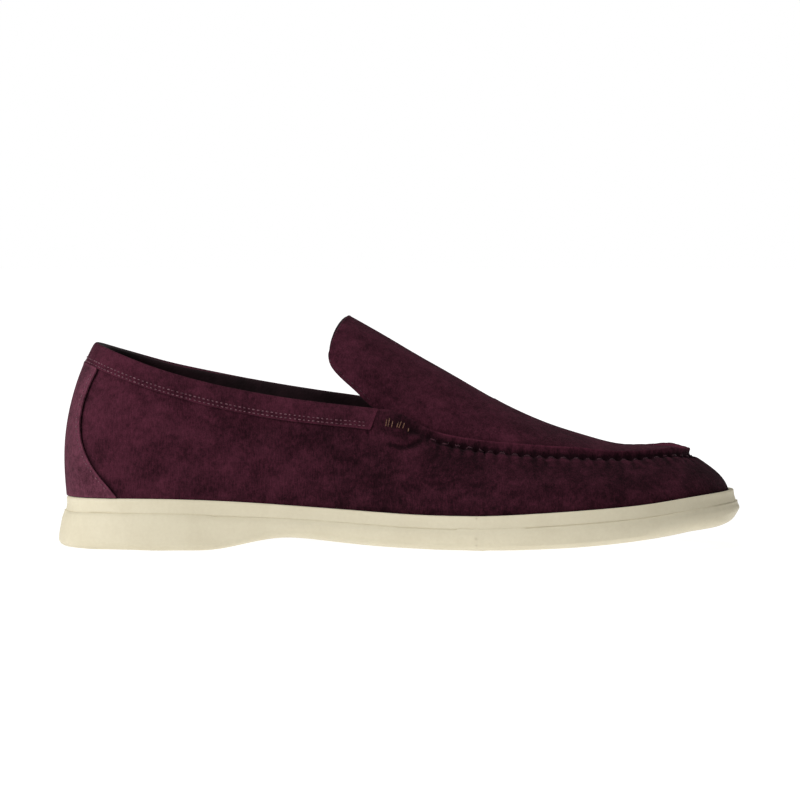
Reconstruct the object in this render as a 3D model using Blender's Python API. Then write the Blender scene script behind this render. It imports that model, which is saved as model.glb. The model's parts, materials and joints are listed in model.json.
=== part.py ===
"""A suede slip-on loafer for the right foot, as the pieces that a shoemaker joins.

The toe points along +X, the lateral (outer) side is -Y and the ground is Z = 0.
Tables and dimensions are in millimetres, and MM turns them into metres.
Every piece of the upper is laid on one last: a profile that runs from the top edge of the shoe
down to the sole, at any place round the foot. A place round the foot is a station number: 0 at
the back of the heel, TOE at the tip of the toe, counted along the lateral side, and the same
numbers made negative along the medial side.
A hinge stands for the flex of the forefoot, so each piece that crosses the ball of the foot is
made whole and then cut there into a rear and a front piece.
"""

import math

import bmesh
import bpy
from mathutils import Matrix, Vector

MM = 0.001
GAP = 0.3  # clearance between neighbouring pieces

# Sole, from the ground up.
BAND_HEEL, BAND_FORE = 6.2, 5.2  # height of the midsole's edge, above the outsole
CUP_DEPTH = 3.0  # the upper stands this far down inside the midsole's rim
FEATHER_INSET = 5.0  # from the sole's outline to the foot of the upper
MARGIN_WIDTH = 12.0  # the wall's lasting margin, turned in under the insole board
MARGIN = 1.2
BOARD = 2.0
FOAM = 3.0
SOCK = 0.8
BOARD_INSET = 9.0
SHANK_LENGTH, SHANK_WIDTH, SHANK_START = 96.0, 12.0, -112.0
FILLER_START = -4.0
POCKET_INSET, POCKET_FRONT, POCKET_FLOOR = 12.0, -88.0, 6.0

# Upper, from the outside in. Depths are measured inwards from the last's surface.
WALL = 1.3
STIFFENER = (1.6, 2.7)
LINING_DEPTH, LINING, LINING_STEP = 1.8, 0.7, 1.2
COLLAR_LEG = 10.0  # how far the collar band reaches down each side
COLLAR = 0.8
COLLAR_END = 6.0  # station where the collar band stops, at the throat
PATCH_SKIN = (-1.2, -0.4)
APRON, APRON_LINING = 1.3, 0.7
APRON_TUCK = WALL + GAP + APRON  # from the wall's outer face to the apron's visible face
THREAD = 0.3  # radius
TACK_TURNS = 4  # bends of the hand stitches at each corner of the throat

# The flex of the forefoot.
FLEX_X = 42.0
FLEX_TURN = math.radians(10)  # the medial end of the flex line lies further forward

# The last. Each row: the sole's outline (x, lateral y, medial y), then the top edge of the upper on
# the lateral side (x, y, z) and on the medial side. The top edge is the topline as far as row 6,
# then the edge that is sewn to the apron.
LAST = (
    (-150.0, 0.0, 0.0, (-132.5, 0.0, 89.0), (-132.5, 0.0, 89.0)),
    (-143.5, 19.0, 19.0, (-129.3, 12.0, 87.9), (-129.6, 12.0, 88.2)),
    (-127.0, 31.0, 30.5, (-118.0, 21.5, 83.2), (-118.5, 21.3, 84.4)),
    (-100.0, 37.0, 35.5, (-97.0, 26.5, 75.9), (-97.0, 26.3, 78.4)),
    (-65.0, 38.0, 33.0, (-65.0, 28.5, 68.4), (-65.0, 28.0, 71.7)),
    (-32.0, 40.5, 32.5, (-35.0, 29.0, 64.1), (-35.0, 28.5, 66.8)),
    (-7.0, 44.5, 36.5, (-11.0, 29.3, 61.5), (-11.0, 28.8, 63.2)),
    (8.0, 47.5, 40.5, (3.5, 29.8, 58.0), (3.5, 29.3, 59.5)),
    (24.0, 50.5, 45.0, (15.0, 30.5, 51.6), (15.0, 30.0, 52.8)),
    (50.0, 53.8, 50.3, (40.0, 32.2, 47.3), (39.0, 31.6, 48.2)),
    (78.0, 53.4, 51.0, (67.0, 32.0, 45.2), (67.0, 31.4, 45.9)),
    (104.0, 47.8, 47.3, (91.0, 28.5, 44.2), (91.0, 27.8, 44.7)),
    (127.0, 36.0, 38.0, (110.5, 20.5, 43.3), (110.5, 20.8, 43.7)),
    (143.5, 19.5, 22.5, (122.3, 11.0, 42.7), (122.3, 12.8, 42.9)),
    (150.0, -1.5, 1.5, (127.3, -1.2, 42.4), (127.3, 1.2, 42.4)),
)
TOE = len(LAST) - 1
STEP = 0.4  # spacing of the sections round the foot, in stations

# Heights along the shoe, as (x, z).
RIM = ((-150, 22), (-104, 22.4), (-72, 21.4), (-30, 18.7), (9, 16.3), (35, 16.0), (59, 17.2),
       (82, 18.7), (106, 20.6), (129, 23.5), (150, 25.2))
TREAD = ((-150, 0), (-79, 0), (-71, 0.8), (-63, 3.7), (-56, 5.3), (-47, 5.3), (-35, 3.7), (-21, 2.2),
         (-8, 1.1), (5, 0.5), (20, 0), (44, 0), (58, 0.4), (71, 1.0), (84, 1.8), (97, 3.0), (110, 4.4),
         (123, 6.2), (136, 8.6), (143, 10.4), (150, 12.6))

LIP = 3.4  # height of the raised seam between wall and apron, included in the top edge above

# The apron: its free edge round the tongue, then rows of the last where it meets the wall.
# Each row: the edge (x, half width, z) or the last's row, then the ridge of the instep (x, z).
TONGUE = (
    ((-30.7, 19.5, 85.4), (-21.5, 101.4)),
    ((-30.1, 21.8, 81.2), (-19.3, 100.1)),
    ((-27.0, 23.8, 77.0), (-14.8, 97.5)),
    ((-22.6, 24.8, 72.9), (-9.9, 94.7)),
    ((-16.8, 25.2, 67.9), (-3.5, 90.9)),
    ((-10.4, 24.6, 61.4), (4.4, 86.2)),
)
APRON_SEAM = ((7, (14.2, 80.6)), (8, (25.5, 74.2)), (9, (46.6, 62.2)), (10, (69.5, 52.0)),
              (11, (92.0, 46.5)), (12, (109.5, 44.2)), (13, (118.6, 42.2)), (13.5, (122.4, 40.6)))

# The edges of the heel patch: how far round the heel it reaches at parts of its height.
PATCH_EDGE = ((0.0, 1.22), (0.12, 1.08), (0.3, 0.98), (0.5, 1.05), (0.7, 1.4), (1.0, 2.15))


def smooth(low, high, value):
    t = min(1.0, max(0.0, (value - low) / (high - low)))
    return t * t * (3 - 2 * t)


def lerp(a, b, t):
    return a + (b - a) * t


def catmull(points, t):
    """A point on the curve through four points, t from 0 at the second to 1 at the third."""
    a, b, c, d = points
    square = 2 * a - 5 * b + 4 * c - d
    cube = 3 * b - a - 3 * c + d
    return 0.5 * (2 * b + (c - a) * t + square * t * t + cube * t ** 3)


def through(points, t, closed=False):
    """A smooth curve through points, at t counted in points from the first."""
    count = len(points)
    first = math.floor(t)
    if closed:
        near = [points[(first + k) % count] for k in (-1, 0, 1, 2)]
    else:
        first = min(max(first, 0), count - 2)
        near = [points[min(max(first + k, 0), count - 1)] for k in (-1, 0, 1, 2)]
    return catmull([Vector(p) for p in near], t - first)


def height(table, x):
    """The height that a table of (x, z) gives at x, in smooth curves and with no overshoot."""
    x = min(max(x, table[0][0]), table[-1][0])
    k = max(i for i in range(len(table) - 1) if table[i][0] <= x)
    slopes = [(b[1] - a[1]) / (b[0] - a[0]) for a, b in zip(table, table[1:])]
    slopes = [slopes[0], *slopes, slopes[-1]]
    lean = [0.0 if slopes[i] * slopes[i + 1] <= 0 else 0.5 * (slopes[i] + slopes[i + 1]) for i in (k, k + 1)]
    (x0, z0), (x1, z1) = table[k], table[k + 1]
    span = x1 - x0
    t = (x - x0) / span
    rise = z0 * (2 * t ** 3 - 3 * t * t + 1) + z1 * (3 * t * t - 2 * t ** 3)
    return rise + span * (lean[0] * (t ** 3 - 2 * t * t + t) + lean[1] * (t ** 3 - t * t))


# ---------------------------------------------------------------- the last

SOLE_LOOP = ([Vector((x, -lateral, 0)) for x, lateral, *_ in LAST]
             + [Vector((x, medial, 0)) for x, _, medial, *_ in LAST[-2:0:-1]])
TOP_LOOP = ([Vector((row[3][0], -row[3][1], row[3][2])) for row in LAST]
            + [Vector(row[4]) for row in LAST[-2:0:-1]])
SIDES = [through(SOLE_LOOP, k / 8, closed=True).y for k in range(8 * len(SOLE_LOOP))]
CENTRE_Y = (max(SIDES) + min(SIDES)) / 2


def rim(x):
    return height(RIM, x)


def tread(x):
    return height(TREAD, x)


def floor(x):
    """The midsole's inner floor, where the upper and the insole board stand."""
    return rim(x) - CUP_DEPTH


def heelness(x):
    return 1 - smooth(-80, -40, x)


def ledge(x):
    """The joint between outsole and midsole."""
    return rim(x) - lerp(BAND_FORE, BAND_HEEL, heelness(x))


def toe_side(station):
    """How many stations from the heel, whichever way round."""
    return abs((station + TOE) % (2 * TOE) - TOE)


def outward(loop, station):
    """The horizontal direction that points out of a loop."""
    along = through(loop, station + 0.02, closed=True) - through(loop, station - 0.02, closed=True)
    return Vector((along.y, -along.x, 0)).normalized()


def sole_point(station, inset):
    """A point of the sole's outline, moved in by inset."""
    return through(SOLE_LOOP, station, closed=True) - outward(SOLE_LOOP, station) * inset


class Profile:
    """The last's section at one station: a line from the top edge down to the sole."""

    STEPS = 20

    def __init__(self, station):
        self.top = through(TOP_LOOP, station, closed=True)
        foot = sole_point(station, FEATHER_INSET)
        self.out = (outward(TOP_LOOP, station) + outward(SOLE_LOOP, station)).normalized()
        across = Vector((foot.x - self.top.x, foot.y - self.top.y, 0))
        self.reach = across.dot(self.out)
        self.skew = across - self.out * self.reach  # the foot lies this far along the shoe from the top
        self.floor, self.rim = floor(foot.x), rim(foot.x)
        self.lip = LIP * smooth(7.0, 8.0, toe_side(station))
        high = self.top.z - self.lip
        rise = high - self.rim
        share = min(4.0, max(0.0, (foot.x + 150) / 75))
        belly = through([(b, 0) for b in (2.3, 2.2, 2.0, 0.6, -1.4)], share)[0]
        lean = through([(b, 0) for b in (0.95, 0.9, 0.75, 0.6, 0.55)], share)[0]
        corners = (Vector((0.1 * self.lip, high)), Vector((lean * self.reach, high - 0.32 * rise)),
                   Vector((self.reach + belly, self.rim + 0.36 * rise)), Vector((self.reach, self.rim)))
        self.line = [self.bezier(corners, k / self.STEPS) for k in range(self.STEPS + 1)]
        if self.lip > 0.2:
            self.line.insert(0, Vector((0, self.top.z)))
        self.line.append(Vector((self.reach, self.floor + GAP)))
        self.down = [0.0]
        for a, b in zip(self.line, self.line[1:]):
            self.down.append(self.down[-1] + (b - a).length)
        self.length = self.down[-1]
        self.side = self.down[-2]  # as far as the sole's rim

    @staticmethod
    def bezier(c, t):
        s = 1 - t
        return c[0] * s ** 3 + c[1] * 3 * s * s * t + c[2] * 3 * s * t * t + c[3] * t ** 3

    def at(self, down, depth=0.0):
        """The point that far down the profile from the top edge, and that deep inside it."""
        k = max(i for i in range(len(self.line) - 1) if i == 0 or self.down[i] <= down)
        a, b = self.line[k], self.line[k + 1]
        along = (b - a).normalized()
        if 0 < k < len(self.line) - 2:
            along = (along + (a - self.line[k - 1]).normalized()).normalized()
        share = (down - self.down[k]) / (self.down[k + 1] - self.down[k])
        flat = a + (b - a) * share + Vector((along.y, -along.x)) * depth
        return self.place(flat.x, flat.y)

    def place(self, out, z):
        fall = min(1.0, max(0.0, (self.top.z - z) / (self.top.z - self.rim)))
        return Vector((self.top.x, self.top.y, z)) + self.out * out + self.skew * fall


def profiles(first, last):
    """The sections from one station to another, all pieces cut at the same places."""
    low, high = math.floor(min(first, last) / STEP) + 1, math.ceil(max(first, last) / STEP)
    between = [k * STEP for k in range(low, high)]
    between = [s for s in between if min(abs(s - first), abs(s - last)) > 0.1]
    if last < first:
        between.reverse()
    return [(s, Profile(s)) for s in (first, *between, last)]


def round_foot():
    """The sections all the way round, starting at the toe."""
    return profiles(-TOE, TOE)[:-1]


# ---------------------------------------------------------------- making solids

def material(name, colour, roughness, metallic=0.0):
    made = bpy.data.materials.new(name)
    made.use_nodes = True
    shader = made.node_tree.nodes["Principled BSDF"]
    shader.inputs["Base Color"].default_value = (*colour, 1)
    shader.inputs["Roughness"].default_value = roughness
    shader.inputs["Metallic"].default_value = metallic
    made.diffuse_color = (*colour, 1)
    return made


def add(name, mesh, finish):
    obj = bpy.data.objects.new(name, mesh)
    bpy.context.scene.collection.objects.link(obj)
    mesh.materials.append(finish)
    mesh.shade_smooth()
    mesh.set_sharp_from_angle(angle=math.radians(40))
    return obj


def solid(name, points, faces, finish):
    """A closed mesh object from points in millimetres, its faces turned outwards."""
    mesh = bpy.data.meshes.new(name)
    mesh.from_pydata([(p - Vector((0, CENTRE_Y, 0))) * MM for p in points], [], faces)
    shape = bmesh.new()
    shape.from_mesh(mesh)
    bmesh.ops.recalc_face_normals(shape, faces=shape.faces)
    if shape.calc_volume(signed=True) < 0:
        bmesh.ops.reverse_faces(shape, faces=shape.faces)
    shape.to_mesh(mesh)
    shape.free()
    return add(name, mesh, finish)


def shell(name, outer, inner, finish, ring=False):
    """A sheet with thickness, from two grids of points that face each other. A ring closes on itself."""
    rows, columns = len(outer), len(outer[0])
    points = [p for grid in (outer, inner) for row in grid for p in row]

    def index(side, row, column):
        return (side * rows + row % rows) * columns + column

    faces = []
    for r in range(rows if ring else rows - 1):
        for c in range(columns - 1):
            corners = ((r, c), (r + 1, c), (r + 1, c + 1), (r, c + 1))
            faces.append([index(0, *corner) for corner in corners])
            faces.append([index(1, *corner) for corner in reversed(corners)])
        for c in (0, columns - 1):
            faces.append([index(0, r, c), index(0, r + 1, c), index(1, r + 1, c), index(1, r, c)])
    if not ring:
        for r in (0, rows - 1):
            for c in range(columns - 1):
                faces.append([index(0, r, c), index(0, r, c + 1), index(1, r, c + 1), index(1, r, c)])
    return solid(name, points, faces, finish)


def stack(name, rings, finish, count=round(2 * TOE / STEP)):
    """A solid of the sole's outline: rings of (inset, height), each a number or a rule of x, from
    the middle of one face round the edge to the middle of the other."""
    points = []
    for inset, z in rings:
        for k in range(count):
            station = len(SOLE_LOOP) * k / count
            x = sole_point(station, 0).x
            p = sole_point(station, inset(x) if callable(inset) else inset)
            points.append(Vector((p.x, p.y, z(p.x) if callable(z) else z)))
    faces = []
    for r in range(len(rings) - 1):
        for k in range(count):
            a, b = r * count + k, r * count + (k + 1) % count
            faces.append([a, b, b + count, a + count])
    for r in (0, len(rings) - 1):
        for k in range(count // 2):
            strip = [k, k + 1, (count - k - 1) % count, (count - k) % count]
            faces.append([r * count + i for i in dict.fromkeys(strip)])
    return solid(name, points, faces, finish)


def cut(obj, x, keep_front, turn=0.0):
    """Keeps the part of obj in front of a vertical plane across the shoe, or the part behind it."""
    shape = bmesh.new()
    shape.from_mesh(obj.data)
    normal = Vector((math.cos(turn), -math.sin(turn), 0))
    bmesh.ops.bisect_plane(
        shape, geom=[*shape.verts, *shape.edges, *shape.faces], plane_co=Vector((x * MM, 0, 0)),
        plane_no=normal, clear_inner=keep_front, clear_outer=not keep_front, dist=1e-7)
    edges = [e for e in shape.edges if e.is_boundary]
    bmesh.ops.triangle_fill(shape, use_beauty=True, edges=edges)
    bmesh.ops.recalc_face_normals(shape, faces=shape.faces)
    shape.to_mesh(obj.data)
    shape.free()
    return obj


def split_at_flex(obj):
    """Cuts a piece along the flex line into NAME_rear and NAME_front."""
    front = obj.copy()
    front.data = obj.data.copy()
    bpy.context.scene.collection.objects.link(front)
    name = obj.name
    obj.name, front.name = name + "_rear", name + "_front"
    cut(obj, FLEX_X - GAP, keep_front=False, turn=FLEX_TURN)
    cut(front, FLEX_X + GAP, keep_front=True, turn=FLEX_TURN)
    return obj, front


# ---------------------------------------------------------------- bottom of the shoe

def make_outsole(finish, block_finish):
    def edge(heel, fore):
        """A ring of the tread's edge, (inset, height) under the heel and under the forefoot."""
        return (lambda x: lerp(fore[0], heel[0], heelness(x)),
                lambda x: tread(x) + lerp(fore[1], heel[1], heelness(x)))

    whole = stack("outsole", (
        (18.0, tread),
        edge((4.0, 0.0), (9.0, 1.1)),
        edge((1.7, 0.5), (4.4, 1.9)),
        edge((0.4, 2.0), (1.5, 3.3)),
        (0.0, lambda x: lerp(lerp(tread(x), ledge(x), 0.6), tread(x) + 4.0, heelness(x))),
        (lambda x: lerp(0.6, 2.4, heelness(x)), lambda x: ledge(x) - GAP),
    ), finish)
    rear, front = split_at_flex(whole)
    block_rings = ((POCKET_INSET, POCKET_FLOOR + GAP), (POCKET_INSET, lambda x: ledge(x) - 2 * GAP))
    block = stack("heel_filler", block_rings, block_finish)
    cut(block, POCKET_FRONT, keep_front=False)
    cutter = stack("pocket_cutter", ((POCKET_INSET - GAP, POCKET_FLOOR), (POCKET_INSET - GAP, 40.0)), finish)
    cut(cutter, POCKET_FRONT + GAP, keep_front=False)
    cutter.hide_render = True
    cutter.display_type = "WIRE"
    pocket = rear.modifiers.new("pocket", "BOOLEAN")
    pocket.operation = "DIFFERENCE"
    pocket.solver = "EXACT"
    pocket.object = cutter


def make_midsole(finish):
    foot = FEATHER_INSET - 0.4
    edge = lambda x: lerp(2.3, 3.7, heelness(x))
    split_at_flex(stack("midsole", (
        (16.0, ledge),
        (lambda x: lerp(1.3, 3.2, heelness(x)), ledge),
        (edge, lambda x: rim(x) - 0.7),
        (lambda x: edge(x) + 0.7, rim),
        (foot, rim),
        (foot, floor),
        (16.0, floor),
    ), finish))


def layer(low, high, inset=None):
    """Rings of a flat layer that lies on the midsole's floor, between two heights above it. It keeps
    clear of the wall, which leans in at the toe."""
    below, above = (lambda x: floor(x) + low), (lambda x: floor(x) + high)
    if inset is None:
        inset = lambda x: BOARD_INSET + 0.9 * (high - BOARD) * smooth(60, 140, x)
    return (inset, below), (inset, above)


def make_inside(finishes):
    """What lies in the shoe, from the lasting margin's level up to the sock."""
    cavity = FEATHER_INSET + MARGIN_WIDTH + 2 * GAP
    filler = stack("forepart_filler", layer(GAP, MARGIN, cavity), finishes["filler"])
    split_at_flex(cut(filler, FILLER_START, keep_front=True))
    low = 2 * GAP + MARGIN
    for name, thick, finish in (("insole_board", BOARD, "board"), ("footbed_foam", FOAM, "foam"),
                                ("sock_liner", SOCK, "sock")):
        split_at_flex(stack(name, layer(low, low + thick), finishes[finish]))
        low += thick + GAP


def make_shank(finish):
    """The spring steel strip in the waist, beside the filler and under the insole board."""
    rows, steps = [], 10
    for k in range(steps + 1):
        x = SHANK_START + SHANK_LENGTH * k / steps
        half = SHANK_WIDTH / 2 * math.sqrt(1 - 0.75 * abs(2 * k / steps - 1) ** 6)
        middle = -2.0
        rows.append([Vector((x, middle + side * half, floor(x))) for side in (-1, 1)])
    lower = [[p + Vector((0, 0, GAP)) for p in row] for row in rows]
    upper = [[p + Vector((0, 0, MARGIN)) for p in row] for row in rows]
    shell("shank", upper, lower, finish)


# ---------------------------------------------------------------- upper

def stiffened(station):
    """1 where a padding or stiffener lies between wall and lining, 0 over the flexing vamp."""
    s = toe_side(station)
    return max(1 - smooth(4.8, 6.0, s), smooth(10.0, 11.0, s))


def lining_depth(station):
    return LINING_DEPTH + LINING_STEP * stiffened(station)


def under_collar(station):
    return 1.2 if toe_side(station) < COLLAR_END + 0.1 else 0.0


def make_wall(finish):
    """The one piece of suede that goes round the foot, with its margin turned in under the insole."""
    outer, inner = [], []
    for station, side in round_foot():
        start = under_collar(station)
        lip = max(side.lip, 3.0)
        steps = [start, start + lip] + [lerp(start + lip, side.side, k / 6) for k in range(1, 7)]
        turned = side.place(side.reach - MARGIN_WIDTH, 0)
        low = floor(turned.x) + GAP
        outer.append([side.at(d) for d in steps]
                     + [side.place(side.reach, side.floor + GAP), Vector((turned.x, turned.y, low))])
        inner.append([side.at(d, WALL) for d in steps]
                     + [side.place(side.reach - WALL, side.floor + GAP + MARGIN),
                        Vector((turned.x, turned.y, low + MARGIN))])
    split_at_flex(shell("wall", outer, inner, finish, ring=True))


def make_lining(finish):
    outer, inner = [], []
    for station, side in round_foot():
        start = side.lip + 1.2
        end = side.length - MARGIN - 2 * GAP
        depth = lining_depth(station)
        steps = [lerp(start, end, k / 6) for k in range(7)]
        outer.append([side.at(d, depth) for d in steps])
        inner.append([side.at(d, depth + LINING) for d in steps])
    split_at_flex(shell("lining", outer, inner, finish, ring=True))


def band(name, first, last, start, end, depths, finish, rows=5):
    """A strip between two depths of the upper. start and end are rules of (station, profile)."""
    outer, inner = [], []
    for station, side in profiles(first, last):
        steps = [lerp(start(station, side), end(station, side), k / (rows - 1)) for k in range(rows)]
        outer.append([side.at(d, depths[0]) for d in steps])
        inner.append([side.at(d, depths[1]) for d in steps])
    return shell(name, outer, inner, finish)


def make_stiffeners(finishes):
    def to_margin(station, side):
        return side.length - MARGIN - 3 * GAP

    def below_collar(station, side):
        return lerp(14.5, side.length - 16.0, smooth(3.4, 4.2, abs(station)))

    band("heel_counter", -3.2, 3.2, lambda s, p: 16.0, to_margin, STIFFENER, finishes["counter"], rows=7)
    band("toe_puff", 11.2, 2 * TOE - 11.2, lambda s, p: 5.5, to_margin, STIFFENER, finishes["puff"], rows=6)
    band("collar_padding", -4.8, 4.8, lambda s, p: 2.4, below_collar, STIFFENER, finishes["foam"], rows=7)


def make_collar(finish):
    """The folded band over the topline, from throat to throat round the heel."""
    grids = [], []
    for station, side in profiles(-COLLAR_END, COLLAR_END):
        inside = lining_depth(station) + LINING + GAP
        outside = -GAP
        # Down the outer leg, over the fold and down the inner leg, with the same steps on both faces.
        grids[0].append([side.at(d, n) for d, n in (
            (COLLAR_LEG, outside - COLLAR), (5, outside - COLLAR), (0.9, outside - COLLAR),
            (-0.1, outside - 0.1), (-0.4, inside / 2), (-0.1, inside + 0.1),
            (0.9, inside + COLLAR), (5, inside + COLLAR), (COLLAR_LEG, inside + COLLAR))])
        grids[1].append([side.at(d, n) for d, n in (
            (COLLAR_LEG, outside), (5, outside), (1.2, outside), (0.8, outside + 0.3), (0.6, inside / 2),
            (0.8, inside - 0.3), (1.2, inside), (5, inside), (COLLAR_LEG, inside))])
    shell("collar_band", *grids, finish)


def patch_reach(share):
    """How many stations round the heel the patch reaches, at a share of its height from the top."""
    k = max(i for i in range(len(PATCH_EDGE) - 1) if PATCH_EDGE[i][0] <= share)
    (a, _), (b, _) = PATCH_EDGE[k], PATCH_EDGE[k + 1]
    return through([(r, 0) for _, r in PATCH_EDGE], k + (share - a) / (b - a))[0]


def patch_down(side, share):
    return lerp(COLLAR_LEG + 0.5, side.side - 0.4, share)


def make_heel_patch(finish):
    rows, columns = 10, 12
    grids = [], []
    for r in range(rows + 1):
        share = r / rows
        edge = patch_reach(share)
        across = [Profile(lerp(-edge, edge, c / columns)) for c in range(columns + 1)]
        for grid, depth in zip(grids, PATCH_SKIN):
            grid.append([side.at(patch_down(side, share), depth) for side in across])
    shell("heel_patch", *grids, finish)


def apron_rows():
    """Lateral edge, medial edge and ridge of each control row of the apron, tongue first."""
    rows = [(Vector((x, -y, z)), Vector((x, y, z)), Vector((rx, 0, rz))) for (x, y, z), (rx, rz) in TONGUE]
    for row, (rx, rz) in APRON_SEAM:
        edges = []
        for station in (row, -row):
            side = Profile(station)
            tuck = APRON_TUCK + 0.2 + smooth(12, 13.5, row)
            edges.append(side.top - side.out * tuck - Vector((0, 0, LIP)))
        rows.append((*edges, Vector((rx, (edges[0].y + edges[1].y) / 2, rz))))
    return rows


def apron_point(rows, along, across, depth=0.0):
    """A point of the apron: along counted in rows, across from -1 lateral to 1 medial."""
    lateral, medial, ridge = (through([r[k] for r in rows], along) for k in range(3))
    edge = lateral if across < 0 else medial
    t = 1 - abs(across)
    s = 1 - t
    # The half section rises steeply from its edge and arrives level at the ridge.
    width = s ** 3 + 3 * s * s * t * 0.97 + 3 * s * t * t * 0.55
    rise = 3 * s * s * t * 0.42 + 3 * s * t * t + t ** 3
    bow = 2.0 * math.sin(math.pi * t) * (1 - smooth(0, 1.5, along))
    point = ridge + (edge - ridge) * (1 - rise)
    point.y = ridge.y + (edge.y - ridge.y) * width
    point.x -= bow
    if depth:
        point = point - apron_normal(rows, along, across) * depth
    return point


def apron_edge(rows, along, side, depth):
    """The apron's crease and its edge, which is turned up against the wall from the throat to the toe."""
    edge = apron_point(rows, along, side, depth)
    inward = apron_point(rows, along, side * 0.9, depth)
    flat = (edge - inward).normalized()
    crease = apron_point(rows, along, side)
    seam = apron_point(rows, along + 0.05, side) - apron_point(rows, along - 0.05, side)
    out = Vector((-seam.y, seam.x, 0)).normalized() * side
    upper = crease + out * (0.2 + depth) + Vector((0, 0, LIP - 0.5))
    crease = crease + (out * 0.3 - Vector((0, 0, 1.6))) * (depth / APRON)
    upright = smooth(6.2, 7.2, along)
    return edge.lerp(crease, upright), (edge + flat * 0.6).lerp(upper, upright)


def apron_normal(rows, along, across):
    step = 0.02
    d_along = apron_point(rows, along + step, across) - apron_point(rows, along - step, across)
    low, high = max(-1, across - step), min(1, across + step)
    d_across = apron_point(rows, along, high) - apron_point(rows, along, low)
    return d_along.cross(d_across).normalized()


def make_apron(finish, lining_finish):
    """The apron and the tongue in one piece of suede, and the lining under it."""
    rows = apron_rows()
    end = len(rows) - 1.0
    steps, columns = 24, 14
    across = [2 * c / columns - 1 for c in range(columns + 1)]
    grids = [], []
    for k in range(steps + 1):
        along = end * (1 - (1 - k / steps) ** 1.15)
        for grid, depth in zip(grids, (0.0, APRON)):
            near, nearest = apron_edge(rows, along, -1, depth)
            far, farthest = apron_edge(rows, along, 1, depth)
            middle = [apron_point(rows, along, c, depth) for c in across[1:-1]]
            grid.append([nearest, near, *middle, far, farthest])
    # The front end stands up against the wall like the sides do.
    for grid, depth in zip(grids, (0.0, APRON)):
        grid[-1] = [p + Vector((depth, 0, 0)) for p in grid[-1]]
        grid.append([Vector((p.x + 0.2, p.y, grid[-1][0].z)) for p in grid[-1]])
    split_at_flex(shell("apron", *grids, finish))
    low, high = APRON + GAP, APRON + GAP + APRON_LINING
    grids = [], []
    for k in range(steps + 1):
        along = lerp(0.12, end - 0.7, k / steps)
        for grid, depth in zip(grids, (low, high)):
            grid.append([apron_point(rows, along, 0.93 * c, depth) for c in across])
    split_at_flex(shell("apron_lining", *grids, lining_finish))


# ---------------------------------------------------------------- sewing threads

def thread(name, points, finish, radius=THREAD):
    """A sewing thread laid through points, four-sided."""
    rings = []
    side = Vector((0.3, 0.2, 1))
    for k, p in enumerate(points):
        along = (points[min(k + 1, len(points) - 1)] - points[max(k - 1, 0)]).normalized()
        side = (side - along * side.dot(along)).normalized()
        up = along.cross(side)
        rings.extend((p + side * radius, p + up * radius, p - side * radius, p - up * radius))
    faces = [[0, 1, 2, 3], [len(rings) - 4 + c for c in range(4)]]
    for k in range(len(points) - 1):
        for c in range(4):
            a, b = 4 * k + c, 4 * k + (c + 1) % 4
            faces.append([a, b, b + 4, a + 4])
    return solid(name, rings, faces, finish)


def make_threads(finish, light_finish):
    lift = GAP + THREAD
    on_collar = -GAP - COLLAR - lift
    for name, down in (("collar_thread_upper", COLLAR_LEG - 2.6), ("collar_thread_lower", COLLAR_LEG - 1.0)):
        thread(name, [side.at(down, on_collar) for _, side in profiles(-5.8, 5.8)], finish)
    for hand, turn in (("lateral", 1), ("medial", -1)):
        edge = []
        for k in range(13):
            share = lerp(0.96, 0.05, k / 12)
            side = Profile(turn * (patch_reach(share) - 0.1))
            edge.append(side.at(patch_down(side, share), PATCH_SKIN[0] - lift))
        thread("heel_patch_thread_" + hand, edge, finish)
        seam = [side.at(LIP + 1.0, -lift) for _, side in profiles(turn * 7.55, turn * (TOE - 0.1))]
        split_at_flex(thread("seam_thread_" + hand, seam, finish))
        zigzag = []
        for k in range(6 * TACK_TURNS + 1):
            side = Profile(turn * lerp(6.15, 7.4, k / (6 * TACK_TURNS)))
            zigzag.append(side.at(4.8 - 2.6 * math.cos(math.pi * k / 6), -lift - 0.15))
        thread("throat_tack_" + hand, zigzag, light_finish, radius=0.35)
    rows = apron_rows()
    down_edge = (4.6, 4.0, 3.3, 2.6, 1.9, 1.2, 0.7, 0.45)
    tongue = [apron_point(rows, along, -0.97, -lift) for along in down_edge]
    tongue += [apron_point(rows, 0.25, across / 8, -lift) for across in range(-7, 8)]
    tongue += [apron_point(rows, along, 0.97, -lift) for along in reversed(down_edge)]
    thread("tongue_edge_thread", tongue, finish)


def hang_forefoot():
    """Every piece in front of the flex line turns about an empty on the hinge's axis, at the top of
    the insole board."""
    hinge = bpy.data.objects.new("toe_flex", None)
    bpy.context.scene.collection.objects.link(hinge)
    hinge.location = (FLEX_X * MM, 0, (floor(FLEX_X) + BOARD) * MM)
    hinge.rotation_euler.z = FLEX_TURN
    lifted = Matrix.Translation(hinge.location) @ hinge.rotation_euler.to_matrix().to_4x4()
    for obj in list(bpy.data.objects):
        if obj.type == "MESH" and (obj.name.endswith("_front") or obj.name == "toe_puff"):
            obj.parent = hinge
            obj.matrix_parent_inverse = lifted.inverted()


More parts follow.
